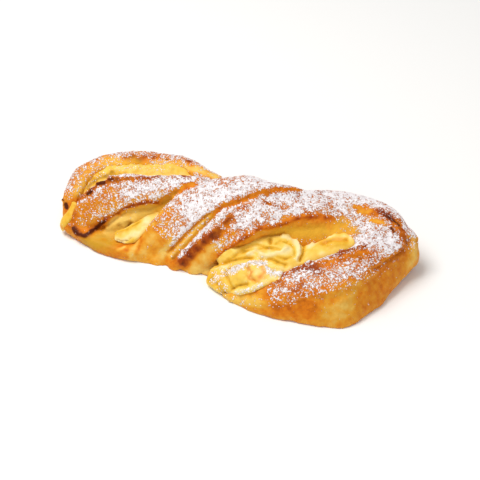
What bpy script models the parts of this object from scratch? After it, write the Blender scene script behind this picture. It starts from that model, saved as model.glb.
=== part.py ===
"""Twisted danish pastry: one strip of yeast dough folded in three round a curd filling, given
half a turn and laid flat, so that both ends open into long loops with the filling showing.

Metres, +Z up. X runs along the pastry, with the large loop at +X, and Y across it, with the
front at -Y. The origin is the middle of the flat underside.
"""

import math

import bmesh
import bpy
import numpy as np
from mathutils import Matrix

MM = 0.001

# Driving dimensions of the whole pastry, in metres
LENGTH = 172 * MM
WIDTH = 71 * MM
HEIGHT = 38 * MM

# The size of the drawing on which the edge lines below are given, in millimetres
DRAWN = (172, 71, 38)

# A band of dough runs this far past its edge lines, and stands this far above them
ROUND = 1.6 * MM
CROWN = 0.8 * MM

# Air between the filling and the dough round it
GAP = 0.4 * MM

# Height and length of the curd's lumps
LUMP_HEIGHT = 0.5 * MM
LUMP_LENGTH = 17 * MM

# How finely a band is faceted
RINGS_PER_MM = 0.19
SIDES = 18
CAP_RINGS = 3
SHARP_ANGLE = math.radians(40)
MERGE = 0.001 * MM


def clear_scene():
    """Starts from an empty scene."""
    for thing in list(bpy.data.objects):
        bpy.data.objects.remove(thing)


def unit(rows):
    return rows / np.linalg.norm(rows, axis=1, keepdims=True)


def smooth_curve(knots, count):
    """Catmull-Rom curve through the rows of knots, read at count even steps of length."""
    padded = np.vstack([2 * knots[0] - knots[1], knots, 2 * knots[-1] - knots[-2]])
    steps = np.linspace(0, len(knots) - 1, 40 * (len(knots) - 1) + 1)
    span = np.minimum(steps.astype(int), len(knots) - 2)
    t = (steps - span)[:, None]
    a, b, c, d = (padded[span + shift] for shift in range(4))
    rows = 0.5 * (2 * b + (c - a) * t + (2 * a - 5 * b + 4 * c - d) * t**2
                  + (3 * b - a - 3 * c + d) * t**3)
    run = np.concatenate([[0], np.cumsum(np.linalg.norm(np.diff(rows[:, :3], axis=0), axis=1))])
    even = np.linspace(0, run[-1], count)
    return np.stack([np.interp(even, run, column) for column in rows.T], axis=1), run[-1]


def knots_of(stations):
    """Rows of a band's middle, its way across from edge to edge, and its thickness, in metres."""
    drawn_to_real = np.array([LENGTH, WIDTH, HEIGHT]) / DRAWN
    left = np.array([station[0] for station in stations], float) * drawn_to_real
    right = np.array([station[1] for station in stations], float) * drawn_to_real
    thick = np.array([[station[2] * MM] for station in stations])
    return np.hstack([(left + right) / 2, right - left, thick])


def band(name, power, stations, grow=0.0, lump=0.0):
    """A closed band of dough or filling laid between two edge lines.

    A station is the (x, y, z) of the band's left edge, the same of its right edge, and its
    thickness, left and right as seen when going along it. The section is a superellipse of
    the given power, hung under the line from edge to edge. Both ends close in a rounded cap.
    grow is added all round, and lump is the height of the waves that roughen the surface.
    """
    knots = knots_of(stations)
    _, length = smooth_curve(knots, 50)
    count = max(8, round(length / MM * RINGS_PER_MM))
    rows, length = smooth_curve(knots, count)
    middles, across, thick = rows[:, 0:3], rows[:, 3:6], rows[:, 6]
    along = unit(np.gradient(middles, axis=0))
    across = across - along * np.sum(across * along, axis=1, keepdims=True)
    half_wide = np.linalg.norm(across, axis=1) / 2 + ROUND
    half_thick = thick / 2
    wide_way = unit(across)
    thick_way = np.cross(wide_way, along)
    middles = middles - thick_way * (half_thick[:, None] - CROWN)

    # Each end is a quarter of an ellipse, as deep as the band's half thickness there
    angles = np.linspace(0, math.pi / 2, CAP_RINGS + 1)[1:-1]
    start_depth = half_thick[0] + grow
    end_depth = half_thick[-1] + grow
    rings = [(0, -start_depth * math.sin(a), math.cos(a)) for a in angles[::-1]]
    rings += [(index, 0.0, 1.0) for index in range(count)]
    rings += [(count - 1, end_depth * math.sin(a), math.cos(a)) for a in angles]

    turn = np.linspace(0, 2 * math.pi, SIDES, endpoint=False)
    rise = np.sign(np.cos(turn)) * np.abs(np.cos(turn)) ** (2 / power)
    reach = np.sign(np.sin(turn)) * np.abs(np.sin(turn)) ** (2 / power)
    points = []
    for index, shift, scale in rings:
        phase = 2 * math.pi * index / (count - 1) * length / LUMP_LENGTH
        swell = grow + lump * (np.sin(phase + 2 * turn) + 0.7 * np.sin(1.7 * phase - 3 * turn))
        centre = middles[index] + along[index] * shift
        up = (rise * (half_thick[index] + swell) * scale)[:, None] * thick_way[index]
        out = (reach * (half_wide[index] + swell) * scale)[:, None] * wide_way[index]
        points.extend(centre + up + out)

    first_pole, last_pole = len(points), len(points) + 1
    points.append(middles[0] - along[0] * start_depth)
    points.append(middles[-1] + along[-1] * end_depth)
    faces = []
    for ring in range(len(rings) - 1):
        here, there = ring * SIDES, (ring + 1) * SIDES
        for side in range(SIDES):
            after = (side + 1) % SIDES
            faces.append((here + side, here + after, there + after))
            faces.append((here + side, there + after, there + side))
    last_ring = (len(rings) - 1) * SIDES
    for side in range(SIDES):
        after = (side + 1) % SIDES
        faces.append((first_pole, after, side))
        faces.append((last_pole, last_ring + side, last_ring + after))

    mesh = bpy.data.meshes.new(name)
    mesh.from_pydata([tuple(point) for point in points], [], faces)
    shaped = bmesh.new()
    shaped.from_mesh(mesh)
    bmesh.ops.recalc_face_normals(shaped, faces=shaped.faces)
    shaped.to_mesh(mesh)
    shaped.free()
    thing = bpy.data.objects.new(name, mesh)
    bpy.context.scene.collection.objects.link(thing)
    return thing


def apply_modifiers(thing):
    """Replaces the object's mesh with what its modifiers make of it."""
    graph = bpy.context.evaluated_depsgraph_get()
    made = bpy.data.meshes.new_from_object(thing.evaluated_get(graph))
    thing.modifiers.clear()
    thing.data = made


def join(name, bands):
    """One solid from overlapping bands, by one Boolean union on a collection."""
    first, others = bands[0], bands[1:]
    layers = bpy.data.collections.new(name + "_layers")
    bpy.context.scene.collection.children.link(layers)
    for thing in others:
        bpy.context.scene.collection.objects.unlink(thing)
        layers.objects.link(thing)
    union = first.modifiers.new("union", "BOOLEAN")
    union.operation = "UNION"
    union.operand_type = "COLLECTION"
    union.collection = layers
    union.solver = "MANIFOLD"
    apply_modifiers(first)
    for thing in others:
        bpy.data.objects.remove(thing)
    bpy.data.collections.remove(layers)
    first.name = name
    return first


def cut(thing, cutter):
    """Takes the cutter's solid out of thing, then removes the cutter."""
    difference = thing.modifiers.new("difference", "BOOLEAN")
    difference.operation = "DIFFERENCE"
    difference.object = cutter
    difference.solver = "MANIFOLD"
    apply_modifiers(thing)
    bpy.data.objects.remove(cutter)


def table_block():
    """A block with its top at Z = 0, which cuts the underside flat."""
    bpy.ops.mesh.primitive_cube_add(size=1)
    block = bpy.context.object
    block.name = "table_block"
    block.scale = (LENGTH * 1.4, WIDTH * 2, HEIGHT)
    block.location = (0, 0, -HEIGHT / 2)
    bpy.ops.object.transform_apply(location=True, rotation=False, scale=True)
    return block


# The large loop's rim: up from the front at the waist, back along the loop, round its far end
# and forward again to a low tip at the front
LOOP_RIM = (3.0, [
    ((-21, -10, 3), (-12, -12, 1), 8),
    ((-16, -8, 11), (-5, -10, 8), 10),
    ((-10, -5, 20), (3, -6, 16), 12),
    ((-3, 0, 28), (12, -4, 22), 13),
    ((6, 6, 33), (19, 1, 26), 14),
    ((15, 18, 34), (28, 8, 28), 15),
    ((27, 28, 31), (37, 12, 28), 15),
    ((39, 38, 28), (47, 16, 27), 15),
    ((53, 40, 27), (55, 17, 25), 14),
    ((68, 37, 26), (60, 15, 24), 14),
    ((78, 28, 23), (62, 12, 24), 13),
    ((80, 18, 20), (62, 8, 24), 13),
    ((76, 7, 19), (59, 3, 24), 13),
    ((68, -9, 19), (53, -2, 23), 13),
    ((59, -18, 18), (44, -8, 21), 13),
    ((45, -24, 14), (36, -13, 18), 12),
    ((33, -28, 8), (28, -20, 14), 10),
    ((21, -27, 4), (19, -22, 10), 8),
    ((10, -25, 3), (9, -19, 7), 6),
])
# The wall under that rim, from the waist's back round the far end to the front: its foot first
LOOP_WALL = (2.8, [
    ((-8, 24, 1), (-6, 22, 24), 12),
    ((10, 27, 1), (10, 24, 27), 12),
    ((26, 31, 1), (26, 28, 28), 12),
    ((40, 35, 1), (39, 38, 26), 12),
    ((54, 37, 1), (53, 41, 24), 12),
    ((68, 35, 1), (67, 39, 22), 12),
    ((80, 30, 2), (81, 30, 19), 11),
    ((86, 26, 4), (83, 23, 16), 11),
    ((82, 14, 3), (78, 13, 16), 11),
    ((77, -1, 2), (72, 1, 16), 11),
    ((71, -15, 1), (67, -9, 16), 11),
    ((65, -25, 1), (61, -15, 16), 11),
    ((57, -28, 1), (55, -18, 15), 11),
    ((45, -29, 1), (44, -24, 12), 10),
    ((32, -29, 1), (32, -27, 6), 8),
    ((19, -27, 1), (21, -26, 4), 7),
    ((6, -23, 1), (8, -22, 4), 6),
])
# The soft side of the slot in the large loop, under the rim's inner lip: its top first
SLOT_SIDE = (2.6, [
    ((20, 9, 26), (20, 4, 17), 5),
    ((30, 12, 27), (30, 5, 17), 6),
    ((42, 16, 26), (41, 8, 16), 6),
    ((53, 17, 25), (53, 9, 16), 6),
    ((61, 13, 24), (58, 8, 18), 5),
])
# The strip's free inner end, which droops as a tongue into the small loop
TONGUE = (3.2, [
    ((-77, -2, 12), (-73, -5, 5), 8),
    ((-73, 1, 20), (-66, -3, 9), 9),
    ((-67, 6, 26), (-60, 0, 15), 9),
    ((-58, 9, 30), (-51, 3, 21), 9),
    ((-45, 11, 32), (-40, 5, 25), 9),
    ((-31, 14, 34), (-29, 9, 30), 8),
    ((-18, 17, 34), (-20, 13, 32), 7),
])
# The thick torn side of the tongue under its lip, which walls the pocket: its top first
TONGUE_SIDE = (2.6, [
    ((-63, 3, 13), (-61, -2, 7), 4),
    ((-52, 5, 19), (-50, 0, 10), 6),
    ((-42, 8, 23), (-40, 3, 13), 6),
    ((-30, 11, 27), (-28, 6, 17), 6),
])
# The broad turn across the waist, from the table at the front over the top to the back
BROAD_TURN = (3.4, [
    ((-44, -12, 2), (-27, -10, 1), 9),
    ((-42, -9, 7), (-25, -6, 9), 10),
    ((-38, -4, 15), (-19, -3, 18), 10),
    ((-33, 2, 23), (-11, 1, 27), 10),
    ((-24, 8, 31), (-2, 5, 33), 10),
    ((-11, 16, 36), (9, 11, 36), 10),
    ((3, 22, 36), (19, 20, 36), 10),
    ((14, 29, 28), (31, 28, 29), 10),
    ((22, 31, 14), (40, 32, 14), 10),
    ((27, 31, 2), (46, 32, 2), 9),
])
# A thin fold that shows between the broad turn and the loop's rim
THIN_FOLD = (2.6, [
    ((-27, -10, 2), (-22, -12, 2), 6),
    ((-21, -7, 11), (-16, -9, 11), 6),
    ((-13, 0, 21), (-9, -3, 21), 6),
    ((-6, 3, 28), (-2, 0, 28), 6),
    ((4, 8, 32), (7, 6, 32), 6),
    ((12, 15, 33), (14, 13, 33), 5),
])
# The small loop's rim, from its low left tip along the back to the waist
SMALL_RIM = (2.8, [
    ((-84, -1, 4), (-79, -2, 6), 6),
    ((-85, 3, 12), (-80, 3, 12), 6),
    ((-85, 8, 18), (-80, 8, 18), 6),
    ((-83, 17, 24), (-77, 15, 22), 6),
    ((-76, 25, 27), (-72, 21, 25), 7),
    ((-65, 33, 28), (-61, 26, 27), 7),
    ((-50, 36, 29), (-48, 29, 28), 7),
    ((-34, 36, 30), (-34, 28, 29), 8),
    ((-18, 29, 30), (-20, 23, 30), 9),
    ((-5, 25, 28), (-8, 20, 28), 10),
])
# The wall under the small loop's rim: its foot first
SMALL_WALL = (2.8, [
    ((-80, -3, 1), (-82, -4, 5), 7),
    ((-82, 3, 1), (-85, 4, 11), 7),
    ((-82, 14, 1), (-85, 9, 17), 7),
    ((-77, 25, 1), (-83, 18, 22), 7),
    ((-67, 32, 1), (-76, 26, 25), 7),
    ((-52, 35, 1), (-65, 33, 26), 8),
    ((-36, 34, 1), (-50, 36, 27), 8),
    ((-20, 31, 1), (-34, 35, 28), 9),
    ((-4, 27, 1), (-18, 29, 28), 10),
])
# The low layer that closes the small loop at the front
SMALL_FRONT = (3.0, [
    ((-80, -4, 6), (-80, -4, 1), 6),
    ((-70, -9, 5), (-72, -8, 1), 9),
    ((-62, -11, 5), (-62, -12, 1), 12),
    ((-54, -12, 5), (-54, -13, 1), 12),
    ((-46, -13, 5), (-46, -13, 1), 12),
    ((-40, -11, 5), (-40, -12, 1), 10),
])
# Dough inside, under the loops and through the waist
HEART = (2.6, [
    ((-74, 16, 9), (-74, 0, 4), 7),
    ((-60, 24, 12), (-60, -6, 5), 8),
    ((-46, 28, 14), (-46, -3, 10), 11),
    ((-28, 27, 24), (-28, 2, 15), 18),
    ((0, 25, 28), (0, -4, 15), 20),
    ((20, 27, 22), (20, -14, 10), 15),
    ((40, 29, 12), (40, -18, 10), 11),
    ((64, 28, 12), (64, -16, 11), 12),
])
# The bottom layer, which closes the underside from wall to wall
BOTTOM = (4.0, [
    ((-79, 14, 7), (-79, 1, 3), 7),
    ((-66, 29, 8), (-66, -6, 3), 8),
    ((-40, 32, 9), (-40, -9, 3), 9),
    ((-14, 26, 9), (-14, -9, 3), 9),
    ((6, 24, 9), (6, -14, 3), 9),
    ((30, 30, 9), (30, -23, 4), 9),
    ((52, 32, 9), (52, -23, 5), 9),
    ((64, 29, 9), (64, -13, 5), 8),
    ((71, 27, 9), (71, 2, 5), 8),
])
DOUGH = {"loop_rim": LOOP_RIM, "loop_wall": LOOP_WALL, "slot_side": SLOT_SIDE, "tongue": TONGUE,
         "tongue_side": TONGUE_SIDE, "broad_turn": BROAD_TURN, "thin_fold": THIN_FOLD,
         "small_rim": SMALL_RIM, "small_wall": SMALL_WALL, "small_front": SMALL_FRONT,
         "heart": HEART, "bottom": BOTTOM}

# The curd in one run, from the small loop under the waist into the large loop
THROUGH = (2.6, [
    ((-80, 8, 13), (-73, 2, 10), 5),
    ((-78, 17, 20), (-70, 10, 18), 8),
    ((-71, 22, 25), (-63, 14, 22), 10),
    ((-60, 26, 27), (-52, 17, 24), 11),
    ((-45, 29, 28), (-39, 20, 25), 11),
    ((-30, 27, 29), (-27, 19, 26), 10),
    ((-18, 15, 20), (-20, 5, 18), 8),
    ((-6, 3, 16), (-10, -6, 13), 8),
    ((5, -6, 17), (4, -16, 8), 10),
    ((16, 1, 21), (22, -16, 13), 11),
    ((26, 5, 21), (33, -12, 17), 11),
    ((37, 6, 18), (41, -4, 18), 9),
    ((46, 12, 20), (51, 3, 20), 9),
    ((52, 16, 21), (56, 8, 21), 8),
])
# Curd that spills over the low front of the large loop
SPILL = (2.8, [
    ((-4, -11, 8), (-5, -17, 3), 6),
    ((6, -13, 13), (3, -22, 4), 8),
    ((15, -14, 16), (14, -24, 8), 8),
    ((22, -15, 16), (23, -23, 12), 6),
    ((30, -14, 16), (31, -19, 14), 5),
])
# Curd in the pocket under the tongue
POCKET = (2.4, [
    ((-57, -6, 8), (-54, -10, 6), 3),
    ((-52, -3, 9), (-49, -9, 7), 4),
    ((-46, 0, 12), (-44, -6, 10), 5),
    ((-39, 5, 17), (-37, 0, 15), 6),
    ((-26, 12, 20), (-24, 4, 17), 7),
])
CURD = {"through": THROUGH, "spill": SPILL, "pocket": POCKET}


def main_body(thing):
    """Keeps the largest closed body, so loose scraps go and sealed hollows fill."""
    shaped = bmesh.new()
    shaped.from_mesh(thing.data)
    bmesh.ops.dissolve_degenerate(shaped, dist=MERGE, edges=shaped.edges)
    left = set(shaped.verts)
    bodies = []
    while left:
        front = [left.pop()]
        body = set(front)
        while front:
            for edge in front.pop().link_edges:
                for vert in edge.verts:
                    if vert in left:
                        left.remove(vert)
                        body.add(vert)
                        front.append(vert)
        bodies.append(body)
    bodies.sort(key=len)
    scraps = [vert for body in bodies[:-1] for vert in body]
    bmesh.ops.delete(shaped, geom=scraps, context="VERTS")
    shaped.to_mesh(thing.data)
    shaped.free()


def principled(name, colour, roughness):
    """A Principled BSDF material of one colour."""
    made = bpy.data.materials.new(name)
    made.use_nodes = True
    shader = made.node_tree.nodes["Principled BSDF"]
    shader.inputs["Base Color"].default_value = (*colour, 1)
    shader.inputs["Roughness"].default_value = roughness
    shader.inputs["Metallic"].default_value = 0.0
    return made


def curd_bands(grow):
    return [band(name, *rows, grow=grow, lump=LUMP_HEIGHT) for name, rows in CURD.items()]


def centre(things):
    """Puts the origin in the middle of the pastry's length and width, on its flat underside."""
    corners = np.array([vert.co for thing in things for vert in thing.data.vertices])
    middle = (corners.min(axis=0) + corners.max(axis=0)) / 2
    for thing in things:
        thing.data.transform(Matrix.Translation((-middle[0], -middle[1], 0)))


def finish(thing, material):
    thing.data.materials.clear()
    thing.data.materials.append(material)
    thing.data.shade_smooth()
    thing.data.set_sharp_from_angle(angle=SHARP_ANGLE)


clear_scene()
dough = join("dough", [band(name, *rows) for name, rows in DOUGH.items()])
cut(dough, join("curd_room", curd_bands(GAP)))
cut(dough, table_block())
filling = join("curd_filling", curd_bands(0.0))
cut(filling, table_block())
main_body(dough)
main_body(filling)
centre([dough, filling])
finish(dough, principled("baked_dough", (0.62, 0.30, 0.09), 0.55))
finish(filling, principled("curd", (0.88, 0.62, 0.16), 0.45))
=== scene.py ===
"""A twisted danish pastry with curd filling and icing sugar.

Metres, +Z up. X runs along the pastry, with the large loop at +X and the front at -Y, and the
pastry lies on the floor at Z = 0.
"""

import math

import bmesh
import bpy
import numpy as np
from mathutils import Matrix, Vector
from mathutils.bvhtree import BVHTree


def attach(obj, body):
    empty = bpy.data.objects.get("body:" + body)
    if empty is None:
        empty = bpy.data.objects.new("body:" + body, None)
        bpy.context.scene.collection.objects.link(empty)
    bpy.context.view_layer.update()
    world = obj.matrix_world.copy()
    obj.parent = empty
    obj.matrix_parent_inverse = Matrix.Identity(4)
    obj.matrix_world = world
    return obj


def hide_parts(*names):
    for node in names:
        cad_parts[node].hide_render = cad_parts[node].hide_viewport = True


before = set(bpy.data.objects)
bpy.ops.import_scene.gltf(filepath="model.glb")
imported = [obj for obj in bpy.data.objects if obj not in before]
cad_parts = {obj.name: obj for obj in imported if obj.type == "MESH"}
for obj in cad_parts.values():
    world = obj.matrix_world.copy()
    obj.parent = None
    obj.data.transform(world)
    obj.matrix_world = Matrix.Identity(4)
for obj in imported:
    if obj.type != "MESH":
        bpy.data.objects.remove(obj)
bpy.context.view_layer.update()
scene = bpy.context.scene
MM = 0.001

# The camera
# It looks at the pastry as the photograph does: from the front, a little to the right and well
# above the table. Places on the surface are named by the photograph's pixels, and sight()
# gives the line of sight through one.
PHOTO_PIXELS = 480
CAMERA_AZIMUTH = math.radians(19)
CAMERA_ELEVATION = math.radians(39)
CAMERA_DISTANCE = 600 * MM
CAMERA_TARGET = Vector((8.15, -10.35, 20)) * MM
FOCAL_PIXELS = 1308
SENSOR_WIDTH = 36
CLIP_NEAR = 10 * MM
CLIP_FAR = 20

camera_back = Vector((
    math.sin(CAMERA_AZIMUTH) * math.cos(CAMERA_ELEVATION),
    -math.cos(CAMERA_AZIMUTH) * math.cos(CAMERA_ELEVATION),
    math.sin(CAMERA_ELEVATION),
))


def put(name, data):
    """A new object with the data, in the scene."""
    thing = bpy.data.objects.new(name, data)
    scene.collection.objects.link(thing)
    return thing


camera = put("camera", bpy.data.cameras.new("camera"))
camera.location = CAMERA_TARGET + camera_back * CAMERA_DISTANCE
camera.rotation_mode = "QUATERNION"
camera.rotation_quaternion = (-camera_back).to_track_quat("-Z", "Y")
camera.data.sensor_width = SENSOR_WIDTH
camera.data.lens = SENSOR_WIDTH * FOCAL_PIXELS / PHOTO_PIXELS
camera.data.clip_start = CLIP_NEAR
camera.data.clip_end = CLIP_FAR
scene.camera = camera


def sight(pixel):
    """The direction from the camera through a pixel of the photograph."""
    right = Vector((math.cos(CAMERA_AZIMUTH), math.sin(CAMERA_AZIMUTH), 0))
    up = camera_back.cross(right)
    across = (pixel[0] - PHOTO_PIXELS / 2) / FOCAL_PIXELS
    above = (PHOTO_PIXELS / 2 - pixel[1]) / FOCAL_PIXELS
    return (right * across + up * above - camera_back).normalized()


# The floor and the light
# A plain white sweep under a large soft lamp to the left and behind, with a weak one at the
# front, as for a packshot.
FLOOR_HALF = 2.0
FLOOR_COLOUR = "#f4f3f1"
SKY_COLOUR = "#fdfcfa"
SKY_STRENGTH = 0.42


def linear(colour):
    """Linear RGB of an sRGB hex colour such as #e0a040."""
    parts = [int(colour[i:i + 2], 16) / 255 for i in (1, 3, 5)]
    return [c / 12.92 if c <= 0.04045 else ((c + 0.055) / 1.055) ** 2.4 for c in parts]


def put_mesh(name, points, faces):
    mesh = bpy.data.meshes.new(name)
    mesh.from_pydata(points, [], faces)
    return put(name, mesh)


def new_finish(name, rough, specular):
    """A node material with its shader's roughness and specular level, and that shader."""
    made = bpy.data.materials.new(name)
    made.use_nodes = True
    shader = made.node_tree.nodes["Principled BSDF"]
    shader.inputs["Roughness"].default_value = rough
    shader.inputs["Specular IOR Level"].default_value = specular
    return made, shader


floor_corners = [(x * FLOOR_HALF, y * FLOOR_HALF, 0)
                 for x, y in ((-1, -1), (1, -1), (1, 1), (-1, 1))]
floor = put_mesh("floor", floor_corners, [(0, 1, 2, 3)])
floor_paint, shader = new_finish("white_sweep", rough=0.9, specular=0.5)
shader.inputs["Base Color"].default_value = (*linear(FLOOR_COLOUR), 1)
floor.data.materials.append(floor_paint)

scene.view_settings.view_transform = "Standard"
world = bpy.data.worlds.new("studio")
world.use_nodes = True
sky = world.node_tree.nodes["Background"].inputs
sky["Color"].default_value = (*linear(SKY_COLOUR), 1)
sky["Strength"].default_value = SKY_STRENGTH
scene.world = world

# Name, place and size in metres, power in watts
LAMPS = [
    ("key_lamp", (-0.35, -0.10, 0.90), 0.50, 8.0),
    ("front_lamp", (0.60, -0.60, 0.55), 0.60, 1.8),
]
for name, place, size, power in LAMPS:
    lamp = put(name, bpy.data.lights.new(name, "AREA"))
    lamp.data.size = size
    lamp.data.energy = power
    lamp.location = place
    lamp.rotation_mode = "QUATERNION"
    lamp.rotation_quaternion = (CAMERA_TARGET - Vector(place)).to_track_quat("-Z", "Y")


# The baked dough
# One strip of yeast dough, folded in three, given half a turn and baked golden. Each fold is
# a band laid between two edge lines, and all of them are fused into one piece with soft
# creases, with room cut out for the curd.
FOLD_STEP = 1.2 * MM
ROUND = 1.6 * MM
CROWN = 0.8 * MM
CAP_RINGS = 5
CURVE_STEPS = 40
CURD_MEETS = 0.4 * MM
DRAWING_SHIFT = np.array([0.65, -6.35, 0]) * MM
TRAY_SIZE = 200 * MM
DOUGH_VOXEL = 0.72 * MM
RELAX = 0.5
RELAX_PASSES = 3


def unit(rows):
    return rows / np.linalg.norm(rows, axis=-1, keepdims=True)


def smooth_curve(knots, count):
    """Catmull-Rom curve through the rows of knots, read at count even steps of length."""
    padded = np.vstack([2 * knots[0] - knots[1], knots, 2 * knots[-1] - knots[-2]])
    steps = np.linspace(0, len(knots) - 1, CURVE_STEPS * (len(knots) - 1) + 1)
    span = np.minimum(steps.astype(int), len(knots) - 2)
    t = (steps - span)[:, None]
    a, b, c, d = (padded[span + shift] for shift in range(4))
    rows = 0.5 * (2 * b + (c - a) * t + (2 * a - 5 * b + 4 * c - d) * t**2
                  + (3 * b - a - 3 * c + d) * t**3)
    run = np.concatenate([[0], np.cumsum(np.linalg.norm(np.diff(rows[:, :3], axis=0), axis=1))])
    even = np.linspace(0, run[-1], count)
    return np.stack([np.interp(even, run, column) for column in rows.T], axis=1), run[-1]


def band(name, power, stations, grow=0.0):
    """A closed band laid between two edge lines.

    A station is the x, y and z of the band's left edge, those of its right edge, and its
    thickness, in millimetres. The section at each is the superellipse |u/w|^p + |v/h|^p = 1
    hung under the line from edge to edge, with half width w and half thickness h, and the
    ends close as a quarter of an ellipse. grow is added all round.
    """
    edges = np.array(stations, float) * MM
    left, right, thick = edges[:, 0:3], edges[:, 3:6], edges[:, 6:7]
    knots = np.hstack([(left + right) / 2, right - left, thick])
    _, length = smooth_curve(knots, 2)
    count = int(length / FOLD_STEP)
    rows, _ = smooth_curve(knots, count)
    along = unit(np.gradient(rows[:, 0:3], axis=0))
    across = rows[:, 3:6] - along * np.sum(rows[:, 3:6] * along, axis=1, keepdims=True)
    half_wide = np.linalg.norm(across, axis=1) / 2 + ROUND + grow
    half_thick = rows[:, 6] / 2
    wide_way = unit(across)
    thick_way = np.cross(wide_way, along)
    middles = rows[:, 0:3] - thick_way * (half_thick[:, None] - CROWN)
    half_thick = half_thick + grow

    # Rings: the start's cap, the body, the end's cap
    cap = np.linspace(0, math.pi / 2, CAP_RINGS + 1)[1:-1]
    bend = np.concatenate([-cap[::-1], np.zeros(count), cap])
    index = np.clip(np.arange(len(bend)) - len(cap), 0, count - 1)
    shift = np.sin(bend) * half_thick[index]
    scale = np.cos(bend)
    sides = int(2 * (half_wide.mean() + half_thick.mean()) / FOLD_STEP)
    turn = np.linspace(0, 2 * math.pi, sides, endpoint=False)
    rise, reach = (np.sign(wave) * np.abs(wave) ** (2 / power)
                   for wave in (np.cos(turn), np.sin(turn)))
    centre = middles[index] + along[index] * shift[:, None]
    up = thick_way[index] * (half_thick[index] * scale)[:, None]
    out = wide_way[index] * (half_wide[index] * scale)[:, None]
    rings = (centre[:, None] + up[:, None] * rise[None, :, None]
             + out[:, None] * reach[None, :, None])
    poles = np.array([middles[0] - along[0] * half_thick[0],
                      middles[-1] + along[-1] * half_thick[-1]])
    points = np.vstack([rings.reshape(-1, 3), poles]) + DRAWING_SHIFT

    ring = np.arange(len(index) - 1)[:, None] * sides
    side = np.arange(sides)
    after = (side + 1) % sides
    here, beside = ring + side, ring + after
    first = np.stack([here, beside, beside + sides], axis=-1).reshape(-1, 3)
    second = np.stack([here, beside + sides, here + sides], axis=-1).reshape(-1, 3)
    last = (len(index) - 1) * sides
    pole = len(index) * sides
    start_fan = np.stack([np.full(sides, pole), after, side], axis=-1)
    end_fan = np.stack([np.full(sides, pole + 1), last + side, last + after], axis=-1)
    faces = np.vstack([first, second, start_fan, end_fan])
    thing = put_mesh(name, points.tolist(), faces.tolist())
    shaped = bmesh.new()
    shaped.from_mesh(thing.data)
    bmesh.ops.recalc_face_normals(shaped, faces=shaped.faces)
    shaped.to_mesh(thing.data)
    shaped.free()
    return thing


def apply_modifiers(thing):
    """Replaces the object's mesh with what its modifiers make of it."""
    graph = bpy.context.evaluated_depsgraph_get()
    made = bpy.data.meshes.new_from_object(thing.evaluated_get(graph))
    thing.modifiers.clear()
    thing.data = made


def boolean(thing, operation, **operands):
    """Applies a Boolean of the thing with the operands."""
    change = thing.modifiers.new("boolean", "BOOLEAN")
    change.operation = operation
    change.solver = "MANIFOLD"
    for name, value in operands.items():
        setattr(change, name, value)
    apply_modifiers(thing)


def join(name, bands):
    """One solid from overlapping bands, by one Boolean union on a collection."""
    first, others = bands[0], bands[1:]
    layers = bpy.data.collections.new(name + "_layers")
    scene.collection.children.link(layers)
    for thing in others:
        scene.collection.objects.unlink(thing)
        layers.objects.link(thing)
    boolean(first, "UNION", operand_type="COLLECTION", collection=layers)
    for thing in others:
        bpy.data.objects.remove(thing)
    bpy.data.collections.remove(layers)
    first.name = name
    return first


def cut(thing, cutter):
    """Takes the cutter's solid out of thing, then removes the cutter."""
    boolean(thing, "DIFFERENCE", object=cutter)
    bpy.data.objects.remove(cutter)


def tray_block():
    """A block with its top at Z = 0, which cuts the underside flat."""
    corners = np.array([(x, y, z) for x in (-1, 1) for y in (-1, 1) for z in (-1, 0)])
    sides = [(0, 1, 3, 2), (4, 6, 7, 5), (0, 4, 5, 1), (2, 3, 7, 6), (0, 2, 6, 4), (1, 5, 7, 3)]
    return put_mesh("tray_block", (corners * TRAY_SIZE).tolist(), sides)


FOLDS = {}
# The large loop's rim: up from the front at the waist, back along the loop, round its far end
# and forward again to a low tip at the front
FOLDS["loop_rim"] = (3.0, [
    (-21, -10, 3, -12, -12, 1, 8),
    (-16, -8, 11, -5, -10, 8, 10),
    (-10, -5, 20, 3, -6, 16, 12),
    (-3, 0, 28, 12, -4, 22, 13),
    (6, 6, 33, 19, 1, 26, 14),
    (15, 18, 34, 28, 8, 28, 15),
    (27, 28, 31, 37, 12, 28, 15),
    (39, 38, 28, 47, 16, 27, 15),
    (53, 40, 27, 55, 17, 25, 14),
    (68, 37, 26, 60, 15, 24, 14),
    (78, 28, 23, 62, 12, 24, 13),
    (80, 18, 20, 62, 8, 24, 13),
    (76, 7, 19, 59, 3, 24, 13),
    (68, -9, 19, 53, -2, 23, 13),
    (59, -18, 18, 44, -8, 21, 13),
    (45, -24, 14, 36, -13, 18, 12),
    (33, -28, 8, 28, -20, 14, 10),
    (21, -27, 4, 19, -22, 10, 8),
    (10, -25, 3, 9, -19, 7, 6),
])
# The wall under that rim, from the waist's back round the far end to the front: its foot first
FOLDS["loop_wall"] = (2.8, [
    (-8, 24, 1, -6, 22, 24, 12),
    (10, 27, 1, 10, 24, 27, 12),
    (26, 31, 1, 26, 28, 28, 12),
    (40, 35, 1, 39, 38, 26, 12),
    (54, 37, 1, 53, 41, 24, 12),
    (68, 35, 1, 67, 39, 22, 12),
    (80, 30, 2, 81, 30, 19, 11),
    (86, 26, 4, 83, 23, 16, 11),
    (82, 14, 3, 78, 13, 16, 11),
    (77, -1, 2, 72, 1, 16, 11),
    (71, -15, 1, 67, -9, 16, 11),
    (65, -25, 1, 61, -15, 16, 11),
    (57, -28, 1, 55, -18, 15, 11),
    (45, -29, 1, 44, -24, 12, 10),
    (32, -29, 1, 32, -27, 6, 8),
    (19, -27, 1, 21, -26, 4, 7),
    (6, -23, 1, 8, -22, 4, 6),
])
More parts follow.
